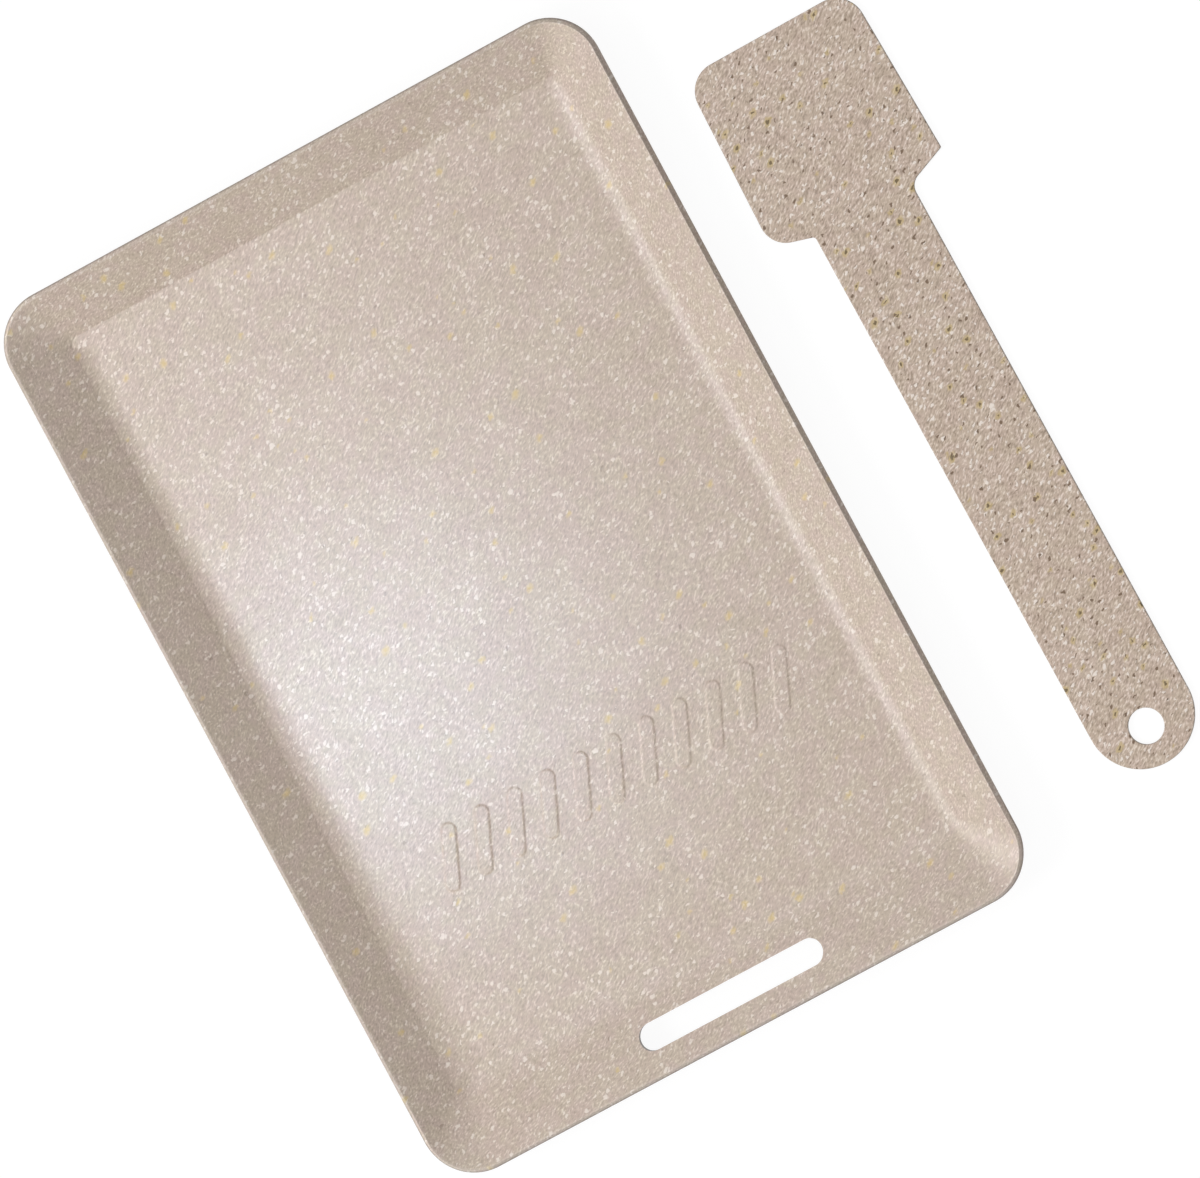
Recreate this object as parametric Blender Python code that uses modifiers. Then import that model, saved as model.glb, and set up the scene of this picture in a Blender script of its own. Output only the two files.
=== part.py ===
"""Griddle plate with a lifting slot, and the flat scraper that goes with it.

Both pieces are stamped from coated sheet. The plate is a shallow tray with a flat
floor, four sloping walls and a plain cut rim. The wall that holds the slot is wider
and gentler than the other three. The scraper is a flat blank of thinner sheet that
lies loose beside the plate.

The origin is on the underside of the plate's floor, at the middle of its length and
width. +Z is up, +Y runs along the plate away from the slot, and +X runs across it
towards the scraper.
"""

import math

import bmesh
import bpy
from mathutils import Vector

MM = 0.001

# Sheet that each piece is stamped from
PLATE_SHEET = 1.6 * MM
SCRAPER_SHEET = 1.2 * MM
EDGE_ROUNDING = 0.2 * MM

# Plate, outside sizes
PLATE_LENGTH = 200.0 * MM
PLATE_WIDTH = 137.5 * MM
PLATE_HEIGHT = 9.3 * MM
RIM_CORNER_RADIUS = 11.0 * MM
FLOOR_CORNER_RADIUS = 1.5 * MM

# Slope of the walls above the floor, in degrees; the left wall is steeper at its far end
LEFT_WALL_SLOPE = 31.8
LEFT_FAR_END_SLOPE = 33.5
RIGHT_WALL_SLOPE = 33.8
FAR_WALL_SLOPE = 36.0
SLOT_WALL_SLOPE = 23.9

# Bend between the floor and each wall, on the cooking side
LEFT_BEND_RADIUS = 14.5 * MM
LEFT_FAR_END_BEND_RADIUS = 28.0 * MM
RIGHT_BEND_RADIUS = 8.5 * MM
FAR_BEND_RADIUS = 20.0 * MM
SLOT_BEND_RADIUS = 17.0 * MM

# Crease between bend and wall, in degrees: all along the far wall, and at the far end of
# the left wall, from where it runs out towards the slot
FAR_CREASE = 28.5
LEFT_FAR_END_CREASE = 25.5

# Lifting slot in the gentle wall
SLOT_LENGTH = 42.2 * MM
SLOT_WIDTH = 5.7 * MM
SLOT_FROM_END = 8.5 * MM
SLOT_OFF_CENTRE = 0.7 * MM

# Row of plain slanted ribs pressed up into the floor
RIB_COUNT = 11
RIB_PITCH = 7.7 * MM
RIB_LENGTH = 14.0 * MM
RIB_WIDTH = 3.0 * MM
RIB_RISE = 0.25 * MM
RIB_FLANK = 0.5 * MM
RIB_SLANT = 24.0
RIB_ROW_OFF_CENTRE = 1.0 * MM
RIB_ROW_FROM_END = 59.7 * MM

# Scraper, measured along its handle from the round end
SCRAPER_LENGTH = 167.1 * MM
HANDLE_WIDTH = 22.3 * MM
HANDLE_LENGTH = 126.5 * MM
HEAD_FRONT_WIDTH = 37.8 * MM
HEAD_REAR_WIDTH = 40.0 * MM
HEAD_FRONT_RADIUS = 6.1 * MM
LEFT_SHOULDER_RISE = 2.6 * MM
LEFT_SHOULDER_RADIUS = 5.6 * MM
RIGHT_SHOULDER_RISE = 3.5 * MM
RIGHT_SHOULDER_RADIUS = 0.4 * MM
LEFT_NECK_RADIUS = 0.8 * MM
RIGHT_NECK_RADIUS = 3.0 * MM
HANG_HOLE_DIAMETER = 7.4 * MM
HANG_HOLE_FROM_END = 8.4 * MM

# Where the scraper lies beside the plate
SCRAPER_FROM_PLATE_SIDE = 31.75 * MM
SCRAPER_FROM_PLATE_END = 8.3 * MM
SCRAPER_TURN = 0.52

# Facets
CORNER_STEPS = 12
BEND_STEPS = 8
ARC_STEPS = 10
SLOT_END_STEPS = 14
RIB_END_STEPS = 6
HOLE_STEPS = 32
ROUNDING_STEPS = 2

# Only edges that turn by more than this are rounded, so bends and ribs stay as drawn
SHARP_EDGE = math.radians(50.0)
SMOOTH_EDGE = math.radians(30.0)
CUT_MARGIN = 2.0 * MM
WELD = 0.001 * MM

COATING_COLOUR = (0.54, 0.45, 0.38, 1.0)
SCRAPER_COLOUR = (0.51, 0.42, 0.34, 1.0)
COATING_ROUGHNESS = 0.5


def clear_scene():
    """Remove whatever the open file holds."""
    for item in list(bpy.data.objects):
        bpy.data.objects.remove(item, do_unlink=True)


def new_collection(name):
    collection = bpy.data.collections.new(name)
    bpy.context.scene.collection.children.link(collection)
    return collection


def coating(name, colour):
    """Satin non-stick coating."""
    material = bpy.data.materials.new(name)
    material.use_nodes = True
    shader = material.node_tree.nodes["Principled BSDF"]
    shader.inputs["Base Color"].default_value = colour
    shader.inputs["Roughness"].default_value = COATING_ROUGHNESS
    shader.inputs["Metallic"].default_value = 0.0
    material.diffuse_color = colour
    return material


def add_mesh(name, points, faces, collection):
    mesh = bpy.data.meshes.new(name)
    mesh.from_pydata(points, [], faces)
    mesh.update()
    item = bpy.data.objects.new(name, mesh)
    collection.objects.link(item)
    return item


def loft_faces(ring_count, ring_size):
    """Quads between rings of equal size, each ring running anticlockwise from above."""
    faces = []
    for ring in range(ring_count - 1):
        inner = ring * ring_size
        outer = inner + ring_size
        for step in range(ring_size):
            after = (step + 1) % ring_size
            faces.append((inner + step, outer + step, outer + after, inner + after))
    return faces


def arc(centre, radius, start, end, steps):
    """Points on an arc between two angles in radians, both ends included."""
    points = []
    for step in range(steps + 1):
        angle = start + (end - start) * step / steps
        points.append(centre + radius * Vector((math.cos(angle), math.sin(angle))))
    return points


def capsule(length, width, steps):
    """Outline of a bar with full round ends along X, about its own centre."""
    radius = width / 2
    reach = length / 2 - radius
    right = arc(Vector((reach, 0)), radius, -math.pi / 2, math.pi / 2, steps)
    left = arc(Vector((-reach, 0)), radius, math.pi / 2, 3 * math.pi / 2, steps)
    return right + left


def filleted(corners):
    """Anticlockwise outline through corners given as (x, y, radius), each one rounded."""
    outline = []
    for index, (x, y, radius) in enumerate(corners):
        corner = Vector((x, y))
        before = (Vector(corners[index - 1][:2]) - corner).normalized()
        after = (Vector(corners[(index + 1) % len(corners)][:2]) - corner).normalized()
        half = before.angle(after) / 2
        centre = corner + (before + after).normalized() * radius / math.sin(half)
        first = corner + before * radius / math.tan(half) - centre
        last = corner + after * radius / math.tan(half) - centre
        start = math.atan2(first.y, first.x)
        sweep = math.remainder(math.atan2(last.y, last.x) - start, 2 * math.pi)
        outline += arc(centre, radius, start, start + sweep, ARC_STEPS)
    return [point for index, point in enumerate(outline) if (point - outline[index - 1]).length > WELD]


def flat_curve(name, outlines, thickness, collection):
    """Flat sheet of the given outlines, the first outside and the others cut out of it."""
    data = bpy.data.curves.new(name, "CURVE")
    data.dimensions = "2D"
    data.fill_mode = "BOTH"
    data.extrude = thickness / 2
    for outline in outlines:
        spline = data.splines.new("POLY")
        spline.points.add(len(outline) - 1)
        for point, place in zip(spline.points, outline):
            point.co = (place.x, place.y, 0.0, 1.0)
        spline.use_cyclic_u = True
    item = bpy.data.objects.new(name, data)
    collection.objects.link(item)
    return item


def curve_to_cutter(curve, collection):
    """Closed mesh in place of a curve, kept out of the finished model."""
    bpy.context.view_layer.update()
    evaluated = curve.evaluated_get(bpy.context.evaluated_depsgraph_get())
    mesh = bpy.data.meshes.new_from_object(evaluated)
    shape = bmesh.new()
    shape.from_mesh(mesh)
    bmesh.ops.remove_doubles(shape, verts=shape.verts, dist=WELD)
    shape.to_mesh(mesh)
    shape.free()
    cutter = bpy.data.objects.new(curve.name + "_cutter", mesh)
    cutter.matrix_world = curve.matrix_world
    collection.objects.link(cutter)
    bpy.data.objects.remove(curve, do_unlink=True)
    hide_tool(cutter)
    return cutter


def hide_tool(item):
    item.hide_render = True
    item.display_type = "WIRE"


def join_by(item, tool, operation):
    boolean = item.modifiers.new(tool.name, "BOOLEAN")
    boolean.operation = operation
    boolean.solver = "EXACT"
    boolean.object = tool


def round_edges(item):
    bevel = item.modifiers.new("rounded edges", "BEVEL")
    bevel.width = EDGE_ROUNDING
    bevel.segments = ROUNDING_STEPS
    bevel.limit_method = "ANGLE"
    bevel.angle_limit = SHARP_EDGE


def wall_profile(slope_degrees, bend_radius, crease_degrees=0.0):
    """Cooking surface of one wall, as (inset from the rim's outside, height) pairs.

    It starts where the flat floor ends and follows the bend, which may end in a crease.
    From there it runs straight to the upper edge of the cut rim, which is square to the
    wall.
    """
    slope = math.radians(slope_degrees)
    bend = math.radians(slope_degrees - crease_degrees)
    depth = PLATE_HEIGHT - PLATE_SHEET - bend_radius * (1 - math.cos(bend))
    rim_inset = PLATE_SHEET * math.sin(slope)
    floor_inset = rim_inset + depth / math.tan(slope) + bend_radius * math.sin(bend)
    profile = []
    for step in range(BEND_STEPS + 1):
        turn = bend * step / BEND_STEPS
        inset = floor_inset - bend_radius * math.sin(turn)
        profile.append((inset, PLATE_SHEET + bend_radius * (1 - math.cos(turn))))
    profile.append((rim_inset, PLATE_HEIGHT))
    return profile


def corner_radius(step, along_x, along_y):
    """Plan radius of a corner, from small at the floor to large at the rim, even with the height."""
    height = (along_x[step][1] + along_y[step][1]) / 2
    share = (height - PLATE_SHEET) / (PLATE_HEIGHT - PLATE_SHEET)
    rim_radius = RIM_CORNER_RADIUS - (along_x[-1][0] + along_y[-1][0]) / 2
    return FLOOR_CORNER_RADIUS + (rim_radius - FLOOR_CORNER_RADIUS) * share


def plate_ring(step, walls):
    """One closed ring round the cooking surface, anticlockwise from the +X side."""
    ring = []
    corners = ((1, 1), (-1, 1), (-1, -1), (1, -1))
    for quarter, (side_x, side_y) in enumerate(corners):
        left = walls["left_far_end"] if side_y > 0 else walls["left"]
        along_x = walls["right"] if side_x > 0 else left
        along_y = walls["far"] if side_y > 0 else walls["slot"]
        radius = corner_radius(step, along_x, along_y)
        inset_x, height_x = along_x[step]
        inset_y, height_y = along_y[step]
        centre_x = side_x * (PLATE_WIDTH / 2 - inset_x - radius)
        centre_y = side_y * (PLATE_LENGTH / 2 - inset_y - radius)
        start = quarter * math.pi / 2
        for point in arc(Vector((0, 0)), 1.0, start, start + math.pi / 2, CORNER_STEPS):
            height = height_x * point.x ** 2 + height_y * point.y ** 2
            ring.append((centre_x + radius * point.x, centre_y + radius * point.y, height))
    return ring


def build_tray(collection):
    """Pressed tray: the cooking surface as an open sheet, thickened downwards."""
    walls = {
        "left": wall_profile(LEFT_WALL_SLOPE, LEFT_BEND_RADIUS),
        "left_far_end": wall_profile(LEFT_FAR_END_SLOPE, LEFT_FAR_END_BEND_RADIUS, LEFT_FAR_END_CREASE),
        "right": wall_profile(RIGHT_WALL_SLOPE, RIGHT_BEND_RADIUS),
        "far": wall_profile(FAR_WALL_SLOPE, FAR_BEND_RADIUS, FAR_CREASE),
        "slot": wall_profile(SLOT_WALL_SLOPE, SLOT_BEND_RADIUS),
    }
    rings = [plate_ring(step, walls) for step in range(BEND_STEPS + 2)]
    ring_size = len(rings[0])
    points = [point for ring in rings for point in ring]
    faces = [tuple(range(ring_size))] + loft_faces(len(rings), ring_size)
    tray = add_mesh("griddle_plate", points, faces, collection)
    solidify = tray.modifiers.new("sheet", "SOLIDIFY")
    solidify.thickness = PLATE_SHEET
    solidify.offset = -1.0
    solidify.use_even_offset = True
    solidify.use_quality_normals = True
    return tray


def slot_cutter(collection):
    outline = capsule(SLOT_LENGTH, SLOT_WIDTH, SLOT_END_STEPS)
    height = PLATE_HEIGHT + 2 * CUT_MARGIN
    curve = flat_curve("slot", [outline], height, collection)
    curve.location = (SLOT_OFF_CENTRE, SLOT_FROM_END - PLATE_LENGTH / 2, PLATE_HEIGHT / 2)
    return curve_to_cutter(curve, collection)


def rib_tool(name, surface, collection):
    """All ribs as separate lofts, whose flanks cross the given surface at full width."""
    levels = ((surface - RIB_RISE, -RIB_FLANK), (surface + RIB_RISE, RIB_FLANK))
    points = []
    faces = []
    middle = (RIB_COUNT - 1) / 2
    slant = math.radians(90 - RIB_SLANT)
    centre_y = RIB_ROW_FROM_END - PLATE_LENGTH / 2
    for number in range(RIB_COUNT):
        centre_x = RIB_ROW_OFF_CENTRE + (number - middle) * RIB_PITCH
        base = len(points)
        for height, narrowing in levels:
            outline = capsule(RIB_LENGTH - 2 * narrowing, RIB_WIDTH - 2 * narrowing, RIB_END_STEPS)
            for place in outline:
                x = centre_x + place.x * math.cos(slant) - place.y * math.sin(slant)
                y = centre_y + place.x * math.sin(slant) + place.y * math.cos(slant)
                points.append((x, y, height))
        size = len(outline)
        top = base + size
        faces += [tuple(base + corner for corner in reversed(face)) for face in loft_faces(2, size)]
        faces.append(tuple(range(top - 1, base - 1, -1)))
        faces.append(tuple(range(top, top + size)))
    tool = add_mesh(name, points, faces, collection)
    hide_tool(tool)
    return tool


def press_ribs(tray, collection):
    """Ribs stand up from the floor, and the underside is hollowed by as much."""
    join_by(tray, rib_tool("rib_pads", PLATE_SHEET, collection), "UNION")
    join_by(tray, rib_tool("rib_hollows", 0.0, collection), "DIFFERENCE")


def build_plate(parts, tools, material):
    tray = build_tray(parts)
    join_by(tray, slot_cutter(tools), "DIFFERENCE")
    press_ribs(tray, tools)
    round_edges(tray)
    tray.data.materials.append(material)
    tray.data.shade_smooth()
    tray.data.set_sharp_from_angle(angle=SMOOTH_EDGE)


def scraper_outline():
    """Head and handle along +Y, from the middle of the handle's round end."""
    handle = HANDLE_WIDTH / 2
    rear = HEAD_REAR_WIDTH / 2
    front = HEAD_FRONT_WIDTH / 2
    return filleted((
        (-handle, 0.0, handle),
        (handle, 0.0, handle),
        (handle, HANDLE_LENGTH, RIGHT_NECK_RADIUS),
        (rear, HANDLE_LENGTH + RIGHT_SHOULDER_RISE, RIGHT_SHOULDER_RADIUS),
        (front, SCRAPER_LENGTH, HEAD_FRONT_RADIUS),
        (-front, SCRAPER_LENGTH, HEAD_FRONT_RADIUS),
        (-rear, HANDLE_LENGTH + LEFT_SHOULDER_RISE, LEFT_SHOULDER_RADIUS),
        (-handle, HANDLE_LENGTH, LEFT_NECK_RADIUS),
    ))


def build_scraper(parts, material):
    hole_centre = Vector((0.0, HANG_HOLE_FROM_END))
    hole = arc(hole_centre, HANG_HOLE_DIAMETER / 2, 0.0, 2 * math.pi, HOLE_STEPS)[:-1]
    scraper = flat_curve("scraper", [scraper_outline(), hole], SCRAPER_SHEET, parts)
    scraper.location = (
        PLATE_WIDTH / 2 + SCRAPER_FROM_PLATE_SIDE,
        SCRAPER_FROM_PLATE_END - PLATE_LENGTH / 2,
        SCRAPER_SHEET / 2,
    )
    scraper.rotation_euler.z = math.radians(SCRAPER_TURN)
    weld = scraper.modifiers.new("welded caps", "WELD")
    weld.merge_threshold = WELD
    round_edges(scraper)
    scraper.data.materials.append(material)


def main():
    clear_scene()
    parts = new_collection("griddle_plate_set")
    tools = new_collection("cutting_tools")
    build_plate(parts, tools, coating("plate_coating", COATING_COLOUR))
    build_scraper(parts, coating("scraper_coating", SCRAPER_COLOUR))


main()
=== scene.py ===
"""Looks of a coated griddle plate and its flat scraper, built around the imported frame.

All sizes are in metres in the frame's own axes: +Z up, +Y along the plate away from
the slot, +X across it towards the scraper. The shapes repeat the source's formulas
with finer steps, and the coating is painted by procedural materials.
"""

import math

import bmesh
import bpy
from mathutils import Matrix, Vector


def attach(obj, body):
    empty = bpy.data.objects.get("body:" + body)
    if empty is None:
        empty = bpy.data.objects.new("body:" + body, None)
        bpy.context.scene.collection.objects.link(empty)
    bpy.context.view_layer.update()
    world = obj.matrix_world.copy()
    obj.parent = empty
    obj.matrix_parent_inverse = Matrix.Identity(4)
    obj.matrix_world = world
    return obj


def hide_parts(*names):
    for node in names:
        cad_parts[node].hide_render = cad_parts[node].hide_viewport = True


MM = 0.001

# Sheet that each piece is stamped from
PLATE_SHEET = 1.6 * MM
SCRAPER_SHEET = 1.2 * MM
EDGE_ROUNDING = 0.2 * MM

# Plate, outside sizes
PLATE_LENGTH = 200.0 * MM
PLATE_WIDTH = 137.5 * MM
PLATE_HEIGHT = 9.3 * MM
RIM_CORNER_RADIUS = 11.0 * MM
FLOOR_CORNER_RADIUS = 1.5 * MM

# Slope of each wall in degrees, the bend between it and the floor, and the crease where they meet
WALLS = {
    "left": (31.8, 14.5 * MM, 0.0),
    "left_far_end": (33.5, 28.0 * MM, 25.5),
    "right": (33.8, 8.5 * MM, 0.0),
    "far": (36.0, 20.0 * MM, 28.5),
    "slot": (23.9, 17.0 * MM, 0.0),
}

# Lifting slot
SLOT_LENGTH = 42.2 * MM
SLOT_WIDTH = 5.7 * MM
SLOT_FROM_END = 8.5 * MM
SLOT_OFF_CENTRE = 0.7 * MM

# Row of plain slanted ribs pressed up into the floor
RIB_COUNT = 11
RIB_PITCH = 7.7 * MM
RIB_LENGTH = 14.0 * MM
RIB_WIDTH = 3.0 * MM
RIB_RISE = 0.25 * MM
RIB_FLANK = 0.42 * MM
RIB_SLANT = 24.0
RIB_ROW_OFF_CENTRE = 1.0 * MM
RIB_ROW_FROM_END = 59.7 * MM
RIB_ROW_PLACE = RIB_ROW_FROM_END - PLATE_LENGTH / 2
RIB_GRID = 0.2 * MM
RIB_GRID_MARGIN = 0.6 * MM

# Scraper, measured along its handle from the round end
SCRAPER_LENGTH = 167.1 * MM
HANDLE_WIDTH = 22.3 * MM
HANDLE_LENGTH = 126.5 * MM
HEAD_FRONT_WIDTH = 37.8 * MM
HEAD_REAR_WIDTH = 40.0 * MM
HEAD_FRONT_RADIUS = 6.1 * MM
LEFT_SHOULDER_RISE = 2.6 * MM
LEFT_SHOULDER_RADIUS = 5.6 * MM
RIGHT_SHOULDER_RISE = 3.5 * MM
RIGHT_SHOULDER_RADIUS = 0.4 * MM
LEFT_NECK_RADIUS = 0.8 * MM
RIGHT_NECK_RADIUS = 3.0 * MM
HANG_HOLE_DIAMETER = 7.4 * MM
HANG_HOLE_FROM_END = 8.4 * MM
SCRAPER_FROM_PLATE_SIDE = 31.75 * MM
SCRAPER_FROM_PLATE_END = 8.3 * MM
SCRAPER_TURN = 0.52

# Facets
CORNER_STEPS = 28
BEND_STEPS = 16
ARC_STEPS = 24
SLOT_END_STEPS = 28
HOLE_STEPS = 72
ROUNDING_STEPS = 4
EDGE_BORDER = 0.12 * MM
SHARP_EDGE = math.radians(50.0)
FLAT_FACE_WEIGHT = 100
CUT_MARGIN = 2.0 * MM
WELD = 0.001 * MM

# Streaks of the coating, and their direction in degrees from the +X axis
GRAIN_LENGTH = 0.9 * MM
GRAIN_WIDTH = 0.36 * MM
GRAIN_DIRECTION = 38.0
GRAIN_SWIRL = 0.6 * MM
STREAK_MIDDLE = 0.50

# Noises of the coating, in waves per metre, and the middle of a noise's three channels
SWIRL_WAVES = 0.4 / MM
RAG_WAVES = 1.5 / MM
CLOUD_WAVES = 0.12 / MM
TINT_WAVES = 0.30 / MM
NOISE_MIDDLE = (0.5, 0.5, 0.5)

# Ragged outline of the flecks, their scale along the grain, which draws them out, and their scatter
FLECK_RAGGEDNESS = 0.75 * MM
FLECK_STRETCH = 0.62
SPECK_STRETCH = 0.48
FLECK_SCATTER = 0.9

# Kinds of fleck in millimetres: cell, smallest and largest radius, soft edge, and shift of the cells
SMALL_CHIP = (1.15, 0.12, 0.32, 0.10, (11.3, 2.9, 5.3))
LARGE_CHIP = (2.3, 0.24, 0.48, 0.18, (3.1, 7.7, 2.2))
SPECK = (1.8, 0.14, 0.30, 0.12, (5.9, 13.1, 8.3))
GOLD_FLECK = (3.6, 0.50, 0.95, 0.50, (17.7, 4.3, 9.1))
GOLD_CORE = (3.6, 0.05, 0.38, 0.16, (17.7, 4.3, 9.1))

# Levels of the slow noises between which an effect grows, and its least and greatest amount
CLOUD_LEVELS = (0.35, 0.70)
CLOUD_CREAM = (0.0, 0.08)
CROWDING_LEVELS = (0.36, 0.64)
CROWDING = (0.3, 1.7)
TINT_LEVELS = (0.36, 0.64)

# Faint patches of two tints
PINK_TINT = (1.0, 0.980, 0.985, 1.0)
OLIVE_TINT = (0.985, 1.0, 0.950, 1.0)

# Surface of the coating
COATING_ROUGHNESS = 0.40
ROUGHNESS_SWING = 0.16
CHIP_RISE = 0.8
COATING_IOR = 1.5

# Colours of each coating, and the shares and strengths of its flecks
PLATE_TONES = {
    "base": (0.540, 0.441, 0.370, 1.0),
    "deep": (0.425, 0.342, 0.282, 1.0),
    "cream": (0.76, 0.67, 0.59, 1.0),
    "chip": (0.80, 0.72, 0.64, 1.0),
    "speck": (0.20, 0.14, 0.10, 1.0),
    "gold": (0.70, 0.55, 0.24, 1.0),
    "core": (0.62, 0.46, 0.17, 1.0),
}
PLATE_AMOUNTS = {
    "dark_from": 0.24,
    "light_to": 0.80,
    "tint": 1.0,
    "chips": 0.46,
    "large_chips": 0.20,
    "specks": 0.03,
    "gold": 0.13,
    "chip_strength": 0.84,
    "speck_strength": 0.4,
    "gold_strength": 0.5,
    "relief": 0.05 * MM,
    # Share of the painted shade on the slot's inner wall
    "slot_wall_shade": 1.0,
}
SCRAPER_TONES = {
    "base": (0.535, 0.420, 0.332, 1.0),
    "deep": (0.34, 0.258, 0.195, 1.0),
    "cream": (0.80, 0.68, 0.59, 1.0),
    "chip": (0.85, 0.76, 0.675, 1.0),
    "speck": (0.155, 0.095, 0.05, 1.0),
    "gold": (0.56, 0.42, 0.16, 1.0),
    "core": (0.14, 0.095, 0.035, 1.0),
}
SCRAPER_AMOUNTS = {
    "dark_from": 0.26,
    "light_to": 0.75,
    "tint": 0.6,
    "chips": 0.76,
    "large_chips": 0.08,
    "specks": 0.62,
    "gold": 0.55,
    "chip_strength": 1.0,
    "speck_strength": 0.95,
    "gold_strength": 0.6,
    "relief": 0.06 * MM,
    # Share of the painted shade on the slot's inner wall: none on the scraper
    "slot_wall_shade": 0.0,
}

# Tones of the cut edges against the rest, painted light and shade set by the way each edge faces the
# lamps: paler on the two ends, darker along the sides
SLOT_CUT_TONE = (1.13, 1.13, 1.13, 1.0)
FAR_CUT_TONE = (1.34, 1.34, 1.33, 1.0)
LEFT_CUT_TONE = (0.81, 0.82, 0.83, 1.0)
RIGHT_CUT_TONE = (0.70, 0.69, 0.69, 1.0)
# Painted shade on the lower part of the cut on the two ends
END_EDGE_PAINTED_SHADE = (0.62, 0.60, 0.59, 1.0)
# Painted shade on the slot's inner wall that faces away from the key lamp
SLOT_WALL_PAINTED_SHADE = (0.30, 0.28, 0.27, 1.0)
# Painted light along the rim's lower edge
LOWER_EDGE_PAINTED_LIGHT = (0.95, 0.95, 0.95, 1.0)
# Painted highlight line along the rim's top
RIM_PAINTED_HIGHLIGHT = (0.92, 0.86, 0.79, 1.0)
RIM_HIGHLIGHT_STRENGTH = 0.15

# Parts of a face's direction between which one tone turns into the next, and a cut face begins
LEFT_TO_RIGHT = (-0.10, 0.10)
SLOT_TO_FAR = (-0.30, 0.40)
SIDE_TO_END = (0.95, 0.62)
SLOT_WALL_FACING = (0.10, 0.50)
CUT_FACING = (0.60, 0.72)

# Places along the plate, and heights, between which a painted light or shade fades in or out
SLOT_END = (-75.0 * MM, -88.0 * MM)
LOWER_EDGE_IN = (7.6 * MM, 7.9 * MM)
LOWER_EDGE_OUT = (8.9 * MM, 8.1 * MM)
END_EDGE_HEIGHTS = (8.45 * MM, 8.15 * MM)
SLOT_WALL_HEIGHTS = (7.6 * MM, 7.3 * MM)
RIM_HIGHLIGHT_HEIGHTS = (PLATE_HEIGHT - 0.22 * MM, PLATE_HEIGHT - 0.08 * MM)

# Soft light from all round, and the white ground
WHITE = (1.0, 1.0, 1.0, 1.0)
SOFT_LIGHT = (0.37, 0.37, 0.38, 1.0)
FLOOR_REACH = 2.5
FLOOR_DROP = 0.02 * MM
FLOOR_SHADE = (0.10, 0.10, 0.10, 1.0)
FLOOR_BOUNCE = (0.5, 0.5, 0.5, 1.0)
FLOOR_GLOW = 0.93

# Panels that light the pieces: place, size, level and colour
PLATE_MIDDLE = (0.0, 0.0, 0.0)
FULL_SPREAD = 180.0
LIGHT_PANELS = {
    "key": ((-0.85, 0.0, 0.80), (0.45, 0.45), 0.49, (1.0, 0.99, 0.98)),
    "corner_key": ((-0.74, 0.56, 0.71), (0.30, 0.30), 0.10, (1.0, 0.99, 0.98)),
    "near_panel": ((0.0, -0.60, 1.04), (1.0, 0.55), 0.19, (1.0, 1.0, 1.0)),
    "far_strip": ((0.0, 0.40, 1.0), (1.0, 0.12), 0.06, (1.0, 1.0, 1.0)),
}

# Run per unit of height of the camera's reflection in the plate's floor
MIRROR_SLOPE = (-0.18, 0.02)

# Small panels that show only as a soft reflection round a point of the plate's floor:
# the point, height over it, size, level, colour and spread in degrees
FLOOR_SHEENS = {
    "sheen": ((-0.038, -0.008), 0.30, (0.05, 0.05), 0.90, (0.59, 0.79, 1.0), 30.0),
    "sheen_far": ((-0.045, 0.070), 0.50, (0.10, 0.10), 0.285, (0.77, 0.86, 1.0), 27.0),
}

# Panels that show only as a soft reflection in a corner or along a bend:
# place, aim, size, level, colour and spread in degrees
SLOT_CORNER = (0.060, -0.090, 0.005)
FAR_CORNER = (0.060, 0.090, 0.005)
EDGE_SHEENS = {
    "slot_corner_sheen": (
        (-0.256, 0.111, 0.197), SLOT_CORNER, (0.06, 0.06), 0.42, (0.92, 0.91, 1.0), 14.0,
    ),
    "far_corner_sheen": (
        (-0.250, -0.136, 0.177), FAR_CORNER, (0.06, 0.06), 0.14, (0.95, 0.97, 1.0), 14.0,
    ),
    "slot_bend_sheen": (
        (-0.18, 0.42, 0.90), PLATE_MIDDLE, (0.60, 0.10), 0.094, (0.68, 0.72, 1.0), FULL_SPREAD,
    ),
    "right_bend_sheen": (
        (-0.66, 0.02, 0.78), PLATE_MIDDLE, (0.50, 0.10), 0.107, (0.50, 0.55, 1.0), FULL_SPREAD,
    ),
}

# Camera, fitted to the photograph's framing: place, turn in degrees, lens and sensor in millimetres
CAMERA_PLACE = (0.54729, -0.06601, 2.95555)
CAMERA_TURN = (-3.879, 9.511, -28.650)
CAMERA_LENS = 446.4
CAMERA_SENSOR = 36.0
CAMERA_CLIP = (0.05, 20.0)


# Shapes

def add_object(name, data):
    item = bpy.data.objects.new(name, data)
    bpy.context.scene.collection.objects.link(item)
    return item


def add_mesh(name, points, faces):
    mesh = bpy.data.meshes.new(name)
    mesh.from_pydata(points, [], faces)
    mesh.update()
    return add_object(name, mesh)


def arc(centre, radius, start, end, steps):
    """Points on an arc between two angles in radians, both ends included."""
    points = []
    for step in range(steps + 1):
        angle = start + (end - start) * step / steps
        points.append(centre + radius * Vector((math.cos(angle), math.sin(angle))))
    return points


def capsule(length, width, steps):
    """Outline of a bar with full round ends along X, about its own centre."""
    radius = width / 2
    reach = length / 2 - radius
    right = arc(Vector((reach, 0)), radius, -math.pi / 2, math.pi / 2, steps)
    left = arc(Vector((-reach, 0)), radius, math.pi / 2, 3 * math.pi / 2, steps)
    return right + left


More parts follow.
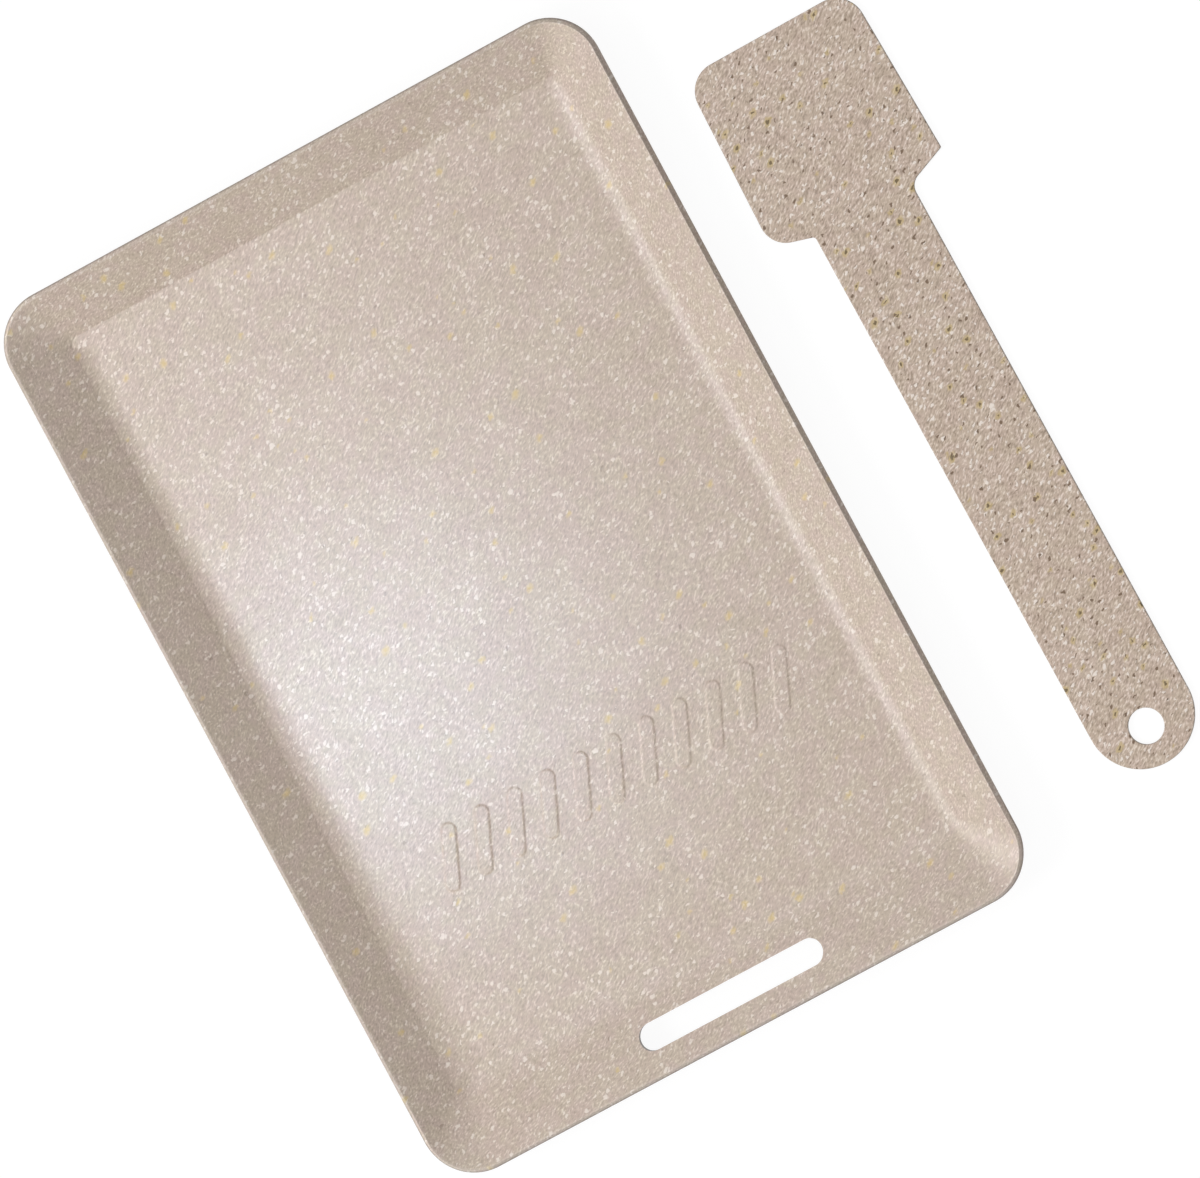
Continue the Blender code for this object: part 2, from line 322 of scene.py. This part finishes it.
def filleted(corners):
    """Anticlockwise outline through corners given as (x, y, radius), each one rounded."""
    outline = []
    for index, (x, y, radius) in enumerate(corners):
        corner = Vector((x, y))
        before = (Vector(corners[index - 1][:2]) - corner).normalized()
        after = (Vector(corners[(index + 1) % len(corners)][:2]) - corner).normalized()
        half = before.angle(after) / 2
        centre = corner + (before + after).normalized() * radius / math.sin(half)
        first = corner + before * radius / math.tan(half) - centre
        last = corner + after * radius / math.tan(half) - centre
        start = math.atan2(first.y, first.x)
        sweep = math.remainder(math.atan2(last.y, last.x) - start, 2 * math.pi)
        outline += arc(centre, radius, start, start + sweep, ARC_STEPS)
    return [point for index, point in enumerate(outline) if (point - outline[index - 1]).length > WELD]


def flat_blank(name, outlines, thickness):
    """Closed flat sheet of the given outlines, the first outside and the others cut out."""
    data = bpy.data.curves.new(name, "CURVE")
    data.dimensions = "2D"
    data.fill_mode = "BOTH"
    data.extrude = thickness / 2
    for outline in outlines:
        spline = data.splines.new("POLY")
        spline.points.add(len(outline) - 1)
        for point, place in zip(spline.points, outline):
            point.co = (place.x, place.y, 0.0, 1.0)
        spline.use_cyclic_u = True
    curve = add_object(name + "_outline", data)
    bpy.context.view_layer.update()
    evaluated = curve.evaluated_get(bpy.context.evaluated_depsgraph_get())
    mesh = bpy.data.meshes.new_from_object(evaluated)
    mesh.name = name
    shape = bmesh.new()
    shape.from_mesh(mesh)
    bmesh.ops.remove_doubles(shape, verts=shape.verts, dist=WELD)
    shape.to_mesh(mesh)
    shape.free()
    bpy.data.objects.remove(curve, do_unlink=True)
    return add_object(name, mesh)


def wall_profile(slope_degrees, bend_radius, crease_degrees):
    """Cooking surface of one wall, as (inset from the rim's outside, height) pairs."""
    slope = math.radians(slope_degrees)
    bend = math.radians(slope_degrees - crease_degrees)
    depth = PLATE_HEIGHT - PLATE_SHEET - bend_radius * (1 - math.cos(bend))
    rim_inset = PLATE_SHEET * math.sin(slope)
    floor_inset = rim_inset + depth / math.tan(slope) + bend_radius * math.sin(bend)
    profile = []
    for step in range(BEND_STEPS + 1):
        turn = bend * step / BEND_STEPS
        inset = floor_inset - bend_radius * math.sin(turn)
        profile.append((inset, PLATE_SHEET + bend_radius * (1 - math.cos(turn))))
    profile.append((rim_inset, PLATE_HEIGHT))
    return profile


def corner_radius(step, along_x, along_y):
    """Plan radius of a corner, from small at the floor to large at the rim, even with the height."""
    height = (along_x[step][1] + along_y[step][1]) / 2
    share = (height - PLATE_SHEET) / (PLATE_HEIGHT - PLATE_SHEET)
    rim_radius = RIM_CORNER_RADIUS - (along_x[-1][0] + along_y[-1][0]) / 2
    return FLOOR_CORNER_RADIUS + (rim_radius - FLOOR_CORNER_RADIUS) * share


def plate_ring(step, walls):
    """One closed ring round the cooking surface, anticlockwise from the +X side."""
    ring = []
    corners = ((1, 1), (-1, 1), (-1, -1), (1, -1))
    for quarter, (side_x, side_y) in enumerate(corners):
        left = walls["left_far_end"] if side_y > 0 else walls["left"]
        along_x = walls["right"] if side_x > 0 else left
        along_y = walls["far"] if side_y > 0 else walls["slot"]
        radius = corner_radius(step, along_x, along_y)
        inset_x, height_x = along_x[step]
        inset_y, height_y = along_y[step]
        centre_x = side_x * (PLATE_WIDTH / 2 - inset_x - radius)
        centre_y = side_y * (PLATE_LENGTH / 2 - inset_y - radius)
        start = quarter * math.pi / 2
        for point in arc(Vector((0, 0)), 1.0, start, start + math.pi / 2, CORNER_STEPS):
            height = height_x * point.x ** 2 + height_y * point.y ** 2
            ring.append((centre_x + radius * point.x, centre_y + radius * point.y, height))
    return ring


def rib_centres():
    middle = (RIB_COUNT - 1) / 2
    across = [RIB_ROW_OFF_CENTRE + (number - middle) * RIB_PITCH for number in range(RIB_COUNT)]
    return [(x, RIB_ROW_PLACE) for x in across]


def smooth_step(value):
    value = min(max(value, 0.0), 1.0)
    return value * value * (3 - 2 * value)


def rib_height(x, y, centres):
    """Rise of the floor at a point, from the nearest rib's distance field."""
    slant = math.radians(90 - RIB_SLANT)
    along = Vector((math.cos(slant), math.sin(slant)))
    reach = (RIB_LENGTH - RIB_WIDTH) / 2
    nearest = RIB_LENGTH
    for centre_x, centre_y in centres:
        offset = Vector((x - centre_x, y - centre_y))
        if offset.length > RIB_LENGTH:
            continue
        share = min(max(offset.dot(along), -reach), reach)
        nearest = min(nearest, (offset - along * share).length)
    return RIB_RISE * smooth_step((RIB_WIDTH / 2 + RIB_FLANK / 2 - nearest) / RIB_FLANK)


def floor_patch(first, centres):
    """Fine grid that carries the ribs: its points, quads and border."""
    half_row = (RIB_COUNT - 1) / 2 * RIB_PITCH
    half_rib = RIB_LENGTH / 2 * math.sin(math.radians(RIB_SLANT)) + RIB_WIDTH / 2
    half_x = half_row + half_rib + RIB_GRID_MARGIN
    half_y = RIB_LENGTH / 2 + RIB_GRID_MARGIN
    columns = math.ceil(2 * half_x / RIB_GRID)
    rows = math.ceil(2 * half_y / RIB_GRID)
    points = []
    for row in range(rows + 1):
        y = RIB_ROW_PLACE - half_y + 2 * half_y * row / rows
        for column in range(columns + 1):
            x = RIB_ROW_OFF_CENTRE - half_x + 2 * half_x * column / columns
            points.append((x, y, PLATE_SHEET + rib_height(x, y, centres)))
    width = columns + 1
    faces = []
    for row in range(rows):
        for column in range(columns):
            corner = first + row * width + column
            faces.append((corner, corner + 1, corner + width + 1, corner + width))
    border = list(range(width))
    border += [row * width + columns for row in range(1, rows + 1)]
    border += [rows * width + column for column in range(columns - 1, -1, -1)]
    border += [row * width for row in range(rows - 1, 0, -1)]
    return points, faces, [first + index for index in border]


def cooking_surface():
    """Open sheet of the whole top side: floor with its ribs, bends and walls."""
    walls = {side: wall_profile(*sizes) for side, sizes in WALLS.items()}
    rings = [plate_ring(step, walls) for step in range(BEND_STEPS + 2)]
    size = len(rings[0])
    points = [point for ring in rings for point in ring]
    faces = []
    for ring in range(len(rings) - 1):
        inner = ring * size
        outer = inner + size
        for step in range(size):
            after = (step + 1) % size
            faces.append((inner + step, outer + step, outer + after, inner + after))
    patch_points, patch_faces, border = floor_patch(len(points), rib_centres())
    points += patch_points
    faces += patch_faces
    sheet = add_mesh("griddle_plate_skin", points, faces)
    shape = bmesh.new()
    shape.from_mesh(sheet.data)
    shape.verts.ensure_lookup_table()
    loops = (list(range(size)), border)
    edges = []
    for loop in loops:
        for index, vertex in enumerate(loop):
            pair = (shape.verts[vertex], shape.verts[loop[index - 1]])
            edges.append(shape.edges.get(pair))
    bmesh.ops.triangle_fill(shape, use_beauty=True, use_dissolve=False, edges=edges)
    bmesh.ops.recalc_face_normals(shape, faces=shape.faces)
    if sum(face.normal.z for face in shape.faces) < 0:
        bmesh.ops.reverse_faces(shape, faces=shape.faces)
    shape.to_mesh(sheet.data)
    shape.free()
    return sheet


def apply_modifiers(item):
    """Replace an object's mesh by its finished one."""
    bpy.context.view_layer.update()
    graph = bpy.context.evaluated_depsgraph_get()
    evaluated = item.evaluated_get(graph)
    mesh = bpy.data.meshes.new_from_object(evaluated, preserve_all_data_layers=True, depsgraph=graph)
    item.modifiers.clear()
    item.data = mesh
    mesh.name = item.name


def finish_edges(item):
    """Round the cut edges, and keep the faces between them even right up to the rounding."""
    item.data.shade_smooth()
    bevel = item.modifiers.new("rounded edges", "BEVEL")
    bevel.width = EDGE_ROUNDING
    bevel.segments = ROUNDING_STEPS
    bevel.limit_method = "ANGLE"
    bevel.angle_limit = SHARP_EDGE
    weighted = item.modifiers.new("flat faces stay flat", "WEIGHTED_NORMAL")
    weighted.weight = FLAT_FACE_WEIGHT
    weighted.keep_sharp = False
    apply_modifiers(item)


def build_plate():
    plate = cooking_surface()
    plate.name = "plate_pressed_sheet"
    solidify = plate.modifiers.new("sheet", "SOLIDIFY")
    solidify.thickness = PLATE_SHEET
    solidify.offset = -1.0
    solidify.use_even_offset = True
    solidify.use_quality_normals = True
    slot = capsule(SLOT_LENGTH, SLOT_WIDTH, SLOT_END_STEPS)
    cutter = flat_blank("slot_cutter", [slot], PLATE_HEIGHT + 2 * CUT_MARGIN)
    cutter.location = (SLOT_OFF_CENTRE, SLOT_FROM_END - PLATE_LENGTH / 2, PLATE_HEIGHT / 2)
    cut = plate.modifiers.new("slot", "BOOLEAN")
    cut.operation = "DIFFERENCE"
    cut.solver = "EXACT"
    cut.object = cutter
    apply_modifiers(plate)
    bpy.data.objects.remove(cutter, do_unlink=True)
    finish_edges(plate)
    return plate


def scraper_outline():
    """Head and handle along +Y, from the middle of the handle's round end."""
    handle = HANDLE_WIDTH / 2
    rear = HEAD_REAR_WIDTH / 2
    front = HEAD_FRONT_WIDTH / 2
    return filleted((
        (-handle, 0.0, handle),
        (handle, 0.0, handle),
        (handle, HANDLE_LENGTH, RIGHT_NECK_RADIUS),
        (rear, HANDLE_LENGTH + RIGHT_SHOULDER_RISE, RIGHT_SHOULDER_RADIUS),
        (front, SCRAPER_LENGTH, HEAD_FRONT_RADIUS),
        (-front, SCRAPER_LENGTH, HEAD_FRONT_RADIUS),
        (-rear, HANDLE_LENGTH + LEFT_SHOULDER_RISE, LEFT_SHOULDER_RADIUS),
        (-handle, HANDLE_LENGTH, LEFT_NECK_RADIUS),
    ))


def inset_outline(outline, distance):
    """Outline moved to its left by a distance that is smaller than its tightest corner."""
    moved = []
    for index, point in enumerate(outline):
        along = (outline[(index + 1) % len(outline)] - outline[index - 1]).normalized()
        moved.append(point + Vector((-along.y, along.x)) * distance)
    return moved


def sheet_edge(outline):
    """Rings of points round a cut edge, from the lower face over the rounded edge to the upper one."""
    half = SCRAPER_SHEET / 2
    levels = []
    for step in range(ROUNDING_STEPS + 1):
        turn = math.pi / 2 * step / ROUNDING_STEPS
        inset = EDGE_ROUNDING * (1 - math.cos(turn))
        levels.append((inset, half - EDGE_ROUNDING * (1 - math.sin(turn))))
    levels.append((EDGE_ROUNDING + EDGE_BORDER, half))
    rings = []
    for inset, height in [(inset, -height) for inset, height in reversed(levels)] + levels:
        rings.append([(place.x, place.y, height) for place in inset_outline(outline, inset)])
    return rings


def build_scraper():
    hole_centre = Vector((0.0, HANG_HOLE_FROM_END))
    hole = arc(hole_centre, HANG_HOLE_DIAMETER / 2, 0.0, -2 * math.pi, HOLE_STEPS)[:-1]
    scraper = add_mesh("scraper_blank", [], [])
    shape = bmesh.new()
    lower = []
    upper = []
    for outline in (scraper_outline(), hole):
        rings = [[shape.verts.new(point) for point in ring] for ring in sheet_edge(outline)]
        for inner, outer in zip(rings, rings[1:]):
            for index in range(len(outline)):
                shape.faces.new((inner[index - 1], inner[index], outer[index], outer[index - 1]))
        for ring, border in ((rings[0], lower), (rings[-1], upper)):
            border += [shape.edges.get((ring[index - 1], ring[index])) for index in range(len(ring))]
    for border in (lower, upper):
        bmesh.ops.triangle_fill(shape, use_beauty=True, use_dissolve=False, edges=border)
    bmesh.ops.recalc_face_normals(shape, faces=shape.faces)
    place = Vector((
        PLATE_WIDTH / 2 + SCRAPER_FROM_PLATE_SIDE,
        SCRAPER_FROM_PLATE_END - PLATE_LENGTH / 2,
        SCRAPER_SHEET / 2,
    ))
    shape.transform(Matrix.Translation(place) @ Matrix.Rotation(math.radians(SCRAPER_TURN), 4, "Z"))
    shape.to_mesh(scraper.data)
    shape.free()
    scraper.data.shade_smooth()
    return scraper


# Coating

class Graph:
    """Short hand for building a material's nodes."""

    def __init__(self, name):
        self.material = bpy.data.materials.new(name)
        self.material.use_nodes = True
        self.tree = self.material.node_tree
        self.shader = self.tree.nodes["Principled BSDF"]

    def node(self, kind, settings=None, inputs=None):
        made = self.tree.nodes.new(kind)
        for key, value in (settings or {}).items():
            setattr(made, key, value)
        for key, value in (inputs or {}).items():
            self.feed(made.inputs[key], value)
        return made

    def feed(self, socket, value):
        if isinstance(value, bpy.types.NodeSocket):
            self.tree.links.new(value, socket)
        else:
            socket.default_value = value

    def math(self, operation, first, second=0.0, third=0.0):
        made = self.node("ShaderNodeMath", {"operation": operation})
        for socket, value in zip(made.inputs, (first, second, third)):
            self.feed(socket, value)
        return made.outputs[0]

    def times(self, first, second):
        return self.math("MULTIPLY", first, second)

    def vector(self, operation, first, second):
        made = self.node("ShaderNodeVectorMath", {"operation": operation}, {0: first, 1: second})
        return made.outputs[0]

    def scale(self, vector, amount):
        made = self.node("ShaderNodeVectorMath", {"operation": "SCALE"}, {0: vector, "Scale": amount})
        return made.outputs[0]

    def parts(self, vector):
        return self.node("ShaderNodeSeparateXYZ", None, {"Vector": vector}).outputs

    def ramp(self, value, levels, results=(0.0, 1.0)):
        """Smooth step of a value from one level to another."""
        made = self.node("ShaderNodeMapRange", {"interpolation_type": "SMOOTHSTEP"}, {
            "Value": value,
            "From Min": levels[0],
            "From Max": levels[1],
            "To Min": results[0],
            "To Max": results[1],
        })
        return made.outputs[0]

    def mix(self, factor, first, second, kind="MIX"):
        """Mix of two colours, which this node takes at its seventh and eighth inputs."""
        made = self.node("ShaderNodeMix", {"data_type": "RGBA", "blend_type": kind}, {
            0: factor,
            6: first,
            7: second,
        })
        return made.outputs[2]

    def noise(self, vector, waves, detail=2.0):
        return self.node("ShaderNodeTexNoise", None, {
            "Vector": vector,
            "Scale": waves,
            "Detail": detail,
        }).outputs

    def wobble(self, vector, waves):
        """Smooth noise vector around zero."""
        return self.vector("SUBTRACT", self.noise(vector, waves, 0.0)["Color"], NOISE_MIDDLE)

    def flecks(self, vector, kind, share, strength):
        """Mask of scattered flecks in plan: a share of the cells holds a fleck of some radius."""
        cell, smallest, largest, softness, shift = kind
        made = self.node("ShaderNodeTexVoronoi", {"feature": "F1", "voronoi_dimensions": "2D"}, {
            "Vector": self.vector("ADD", self.scale(vector, 1.0 / cell), shift),
            "Scale": 1.0,
            "Randomness": FLECK_SCATTER,
        }).outputs
        chance = self.node("ShaderNodeSeparateColor", None, {"Color": made["Color"]}).outputs
        radius = self.math("MULTIPLY_ADD", chance["Green"], (largest - smallest) / cell, smallest / cell)
        inside = self.math("SUBTRACT", radius, made["Distance"])
        shape = self.ramp(inside, (0.0, softness / cell))
        chosen = self.math("LESS_THAN", chance["Red"], share)
        return self.times(shape, self.times(chosen, strength))


def ground_colour(graph, place, streaks, cloud, tones, amounts):
    """Colour under the flecks: streaks from deep to cream, paler clouds and two faint tints."""
    darkness = (amounts["dark_from"], STREAK_MIDDLE)
    lightness = (STREAK_MIDDLE, amounts["light_to"])
    colour = graph.mix(graph.ramp(streaks, darkness), tones["deep"], tones["base"])
    colour = graph.mix(graph.ramp(streaks, lightness), colour, tones["cream"])
    colour = graph.mix(graph.ramp(cloud, CLOUD_LEVELS, CLOUD_CREAM), colour, tones["cream"])
    tint = graph.ramp(graph.noise(place, TINT_WAVES, 1.0)["Fac"], TINT_LEVELS)
    return graph.mix(amounts["tint"], colour, graph.mix(tint, PINK_TINT, OLIVE_TINT), "MULTIPLY")


def add_flecks(graph, place, turned, cloud, colour, tones, amounts):
    """Mask of the cream chips, and the colour with every kind of fleck on it."""
    ragged = graph.vector("ADD", turned, graph.scale(graph.wobble(place, RAG_WAVES), FLECK_RAGGEDNESS))
    plan = graph.vector("MULTIPLY", ragged, (FLECK_STRETCH / MM, 1 / MM, 1 / MM))
    narrow = graph.vector("MULTIPLY", ragged, (SPECK_STRETCH / MM, 1 / MM, 1 / MM))
    crowding = graph.ramp(cloud, CROWDING_LEVELS, CROWDING)
    small_share = graph.times(crowding, amounts["chips"])
    large_share = graph.times(crowding, amounts["large_chips"])
    small = graph.flecks(narrow, SMALL_CHIP, small_share, amounts["chip_strength"])
    large = graph.flecks(plan, LARGE_CHIP, large_share, amounts["chip_strength"])
    chips = graph.math("MAXIMUM", small, large)
    gold = graph.flecks(plan, GOLD_FLECK, amounts["gold"], amounts["gold_strength"])
    cores = graph.flecks(plan, GOLD_CORE, amounts["gold"], amounts["speck_strength"])
    specks = graph.flecks(narrow, SPECK, amounts["specks"], amounts["speck_strength"])
    for mask, tone in ((chips, "chip"), (gold, "gold"), (cores, "core"), (specks, "speck")):
        colour = graph.mix(mask, colour, tones[tone])
    return chips, colour


def paint_edge_light_and_shade(graph, place, facing, colour, slot_shade_amount):
    """The colour with painted light and shade on the cut edges, set by the way they face, painted shade
    on the slot's inner wall, and a painted highlight line along the rim's top.
    """
    side, along, rise = graph.parts(facing)
    spot = graph.parts(place)
    height = spot["Z"]
    side_tone = graph.mix(graph.ramp(side, LEFT_TO_RIGHT), LEFT_CUT_TONE, RIGHT_CUT_TONE)
    end_tone = graph.mix(graph.ramp(along, SLOT_TO_FAR), SLOT_CUT_TONE, FAR_CUT_TONE)
    at_end = graph.ramp(graph.math("ABSOLUTE", side), SIDE_TO_END)
    at_end = graph.math("MAXIMUM", at_end, graph.ramp(spot["Y"], SLOT_END))
    tone = graph.mix(at_end, side_tone, end_tone)
    # Painted light along the rim's lower edge
    lower_edge_light = graph.times(graph.ramp(height, LOWER_EDGE_IN), graph.ramp(height, LOWER_EDGE_OUT))
    tone = graph.mix(lower_edge_light, tone, LOWER_EDGE_PAINTED_LIGHT)
    # Painted shade on the lower part of the end cuts
    end_edge_shade = graph.times(at_end, graph.ramp(height, END_EDGE_HEIGHTS))
    tone = graph.mix(end_edge_shade, tone, END_EDGE_PAINTED_SHADE)
    # Painted shade on the slot's inner wall that faces away from the key lamp
    slot_wall_shade = graph.times(graph.ramp(height, SLOT_WALL_HEIGHTS), graph.ramp(side, SLOT_WALL_FACING))
    slot_wall_shade = graph.times(slot_wall_shade, slot_shade_amount)
    tone = graph.mix(slot_wall_shade, tone, SLOT_WALL_PAINTED_SHADE)
    # The cut faces take the painted light and shade
    cut = graph.ramp(graph.math("ABSOLUTE", rise), CUT_FACING, (1.0, 0.0))
    colour = graph.mix(cut, colour, tone, "MULTIPLY")
    # Painted highlight line along the rim's top
    rim_highlight = graph.ramp(height, RIM_HIGHLIGHT_HEIGHTS, (0.0, RIM_HIGHLIGHT_STRENGTH))
    return graph.mix(rim_highlight, colour, RIM_PAINTED_HIGHLIGHT)


def coating(name, tones, amounts):
    """Satin stone-effect coating: fine streaky grain, cream chips, dark specks, gold flecks, and painted
    light and shade on the cut edges.
    """
    graph = Graph(name)
    coordinates = graph.node("ShaderNodeTexCoord").outputs
    place = coordinates["Object"]
    swirled = graph.vector("ADD", place, graph.scale(graph.wobble(place, SWIRL_WAVES), GRAIN_SWIRL))
    turned = graph.node("ShaderNodeVectorRotate", {"rotation_type": "Z_AXIS"}, {
        "Vector": swirled,
        "Angle": -math.radians(GRAIN_DIRECTION),
    }).outputs[0]
    stretched = graph.vector("MULTIPLY", turned, (1 / GRAIN_LENGTH, 1 / GRAIN_WIDTH, 1 / GRAIN_WIDTH))
    streaks = graph.noise(stretched, 1.0, 1.0)["Fac"]
    cloud = graph.noise(place, CLOUD_WAVES)["Fac"]

    ground = ground_colour(graph, place, streaks, cloud, tones, amounts)
    chips, colour = add_flecks(graph, place, turned, cloud, ground, tones, amounts)
    colour = paint_edge_light_and_shade(graph, place, coordinates["Normal"], colour, amounts["slot_wall_shade"])
    roughest = COATING_ROUGHNESS + ROUGHNESS_SWING / 2
    roughness = graph.math("MULTIPLY_ADD", streaks, -ROUGHNESS_SWING, roughest)
    relief = graph.math("MULTIPLY_ADD", chips, CHIP_RISE, streaks)
    bump = graph.node("ShaderNodeBump", None, {
        "Strength": 1.0,
        "Distance": amounts["relief"],
        "Height": relief,
    })
    graph.feed(graph.shader.inputs["Base Color"], colour)
    graph.feed(graph.shader.inputs["Roughness"], roughness)
    graph.feed(graph.shader.inputs["Normal"], bump.outputs["Normal"])
    graph.shader.inputs["Metallic"].default_value = 0.0
    graph.shader.inputs["IOR"].default_value = COATING_IOR
    return graph.material


def dress(item, name, tones, amounts):
    item.data.materials.clear()
    item.data.materials.append(coating(name, tones, amounts))


# Studio

def coloured(tree, kind, colour):
    made = tree.nodes.new(kind)
    made.inputs["Color"].default_value = colour
    return made


def seen_ray(tree):
    """One where the camera, a reflection or glass looks, and zero for soft light."""
    path = tree.nodes.new("ShaderNodeLightPath")
    value = path.outputs["Is Camera Ray"]
    for key in ("Is Glossy Ray", "Is Transmission Ray"):
        most = tree.nodes.new("ShaderNodeMath")
        most.operation = "MAXIMUM"
        tree.links.new(value, most.inputs[0])
        tree.links.new(path.outputs[key], most.inputs[1])
        value = most.outputs[0]
    return value


def split_output(tree, kind, soft, seen):
    """Send one shader to soft light, and another to what the camera or a reflection sees."""
    output = tree.nodes.new(kind)
    mixer = tree.nodes.new("ShaderNodeMixShader")
    tree.links.new(seen_ray(tree), mixer.inputs[0])
    tree.links.new(soft.outputs[0], mixer.inputs[1])
    tree.links.new(seen.outputs[0], mixer.inputs[2])
    tree.links.new(mixer.outputs[0], output.inputs[0])


def build_world():
    world = bpy.data.worlds.new("studio")
    bpy.context.scene.world = world
    world.use_nodes = True
    tree = world.node_tree
    tree.nodes.clear()
    soft = coloured(tree, "ShaderNodeBackground", SOFT_LIGHT)
    white = coloured(tree, "ShaderNodeBackground", WHITE)
    split_output(tree, "ShaderNodeOutputWorld", soft, white)


def build_floor():
    """White ground that glows by itself where it is seen, and takes only a faint shadow."""
    corners = [(x * FLOOR_REACH, y * FLOOR_REACH, 0.0) for x, y in ((-1, -1), (1, -1), (1, 1), (-1, 1))]
    floor = add_mesh("studio_floor", corners, [(0, 1, 2, 3)])
    floor.location.z = -FLOOR_DROP
    material = bpy.data.materials.new("white_floor")
    material.use_nodes = True
    tree = material.node_tree
    tree.nodes.clear()
    shaded = coloured(tree, "ShaderNodeBsdfDiffuse", FLOOR_SHADE)
    glow = coloured(tree, "ShaderNodeEmission", WHITE)
    glow.inputs["Strength"].default_value = FLOOR_GLOW
    both = tree.nodes.new("ShaderNodeAddShader")
    tree.links.new(shaded.outputs[0], both.inputs[0])
    tree.links.new(glow.outputs[0], both.inputs[1])
    plain = coloured(tree, "ShaderNodeBsdfDiffuse", FLOOR_BOUNCE)
    split_output(tree, "ShaderNodeOutputMaterial", plain, both)
    floor.data.materials.append(material)


def panel(name, place, aim, size, level, colour, spread=FULL_SPREAD):
    """Soft panel; its level is the brightness of a white card that faces it at its aim."""
    data = bpy.data.lights.new(name, "AREA")
    data.shape = "RECTANGLE"
    data.size, data.size_y = size
    place = Vector(place)
    aim = Vector(aim)
    data.energy = level * math.pi ** 2 * (place - aim).length_squared
    if spread < FULL_SPREAD:
        half = math.radians(spread / 2)
        data.spread = 2 * half
        data.energy *= 1 - half / math.tan(half)
    data.color = colour
    item = add_object(name, data)
    item.location = place
    item.rotation_euler = (aim - place).to_track_quat("-Z", "Y").to_euler()
    item.visible_camera = False
    return item


def build_lamps():
    for name, (place, size, level, colour) in LIGHT_PANELS.items():
        panel(name, place, PLATE_MIDDLE, size, level, colour)
    for name, ((x, y), height, size, level, colour, spread) in FLOOR_SHEENS.items():
        place = (x + height * MIRROR_SLOPE[0], y + height * MIRROR_SLOPE[1], height)
        panel(name, place, (x, y, 0.0), size, level, colour, spread).visible_diffuse = False
    for name, (place, aim, size, level, colour, spread) in EDGE_SHEENS.items():
        panel(name, place, aim, size, level, colour, spread).visible_diffuse = False


def build_camera():
    data = bpy.data.cameras.new("camera")
    data.lens = CAMERA_LENS
    data.sensor_width = CAMERA_SENSOR
    data.clip_start, data.clip_end = CAMERA_CLIP
    camera = add_object("camera", data)
    camera.location = CAMERA_PLACE
    camera.rotation_euler = [math.radians(turn) for turn in CAMERA_TURN]
    bpy.context.scene.camera = camera


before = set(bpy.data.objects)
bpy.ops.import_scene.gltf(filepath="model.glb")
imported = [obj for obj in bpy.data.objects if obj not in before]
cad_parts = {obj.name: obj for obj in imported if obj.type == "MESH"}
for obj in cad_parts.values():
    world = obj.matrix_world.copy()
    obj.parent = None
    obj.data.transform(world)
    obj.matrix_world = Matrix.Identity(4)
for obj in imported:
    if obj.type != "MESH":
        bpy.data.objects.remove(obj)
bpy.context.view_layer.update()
bpy.context.scene.view_settings.view_transform = "Standard"

build_camera()
build_world()
build_floor()
build_lamps()

plate = build_plate()
dress(plate, "plate_stone_coating", PLATE_TONES, PLATE_AMOUNTS)
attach(plate, "plate")
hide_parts("griddle_plate")

scraper = build_scraper()
dress(scraper, "scraper_stone_coating", SCRAPER_TONES, SCRAPER_AMOUNTS)
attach(scraper, "scraper")
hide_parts("scraper")
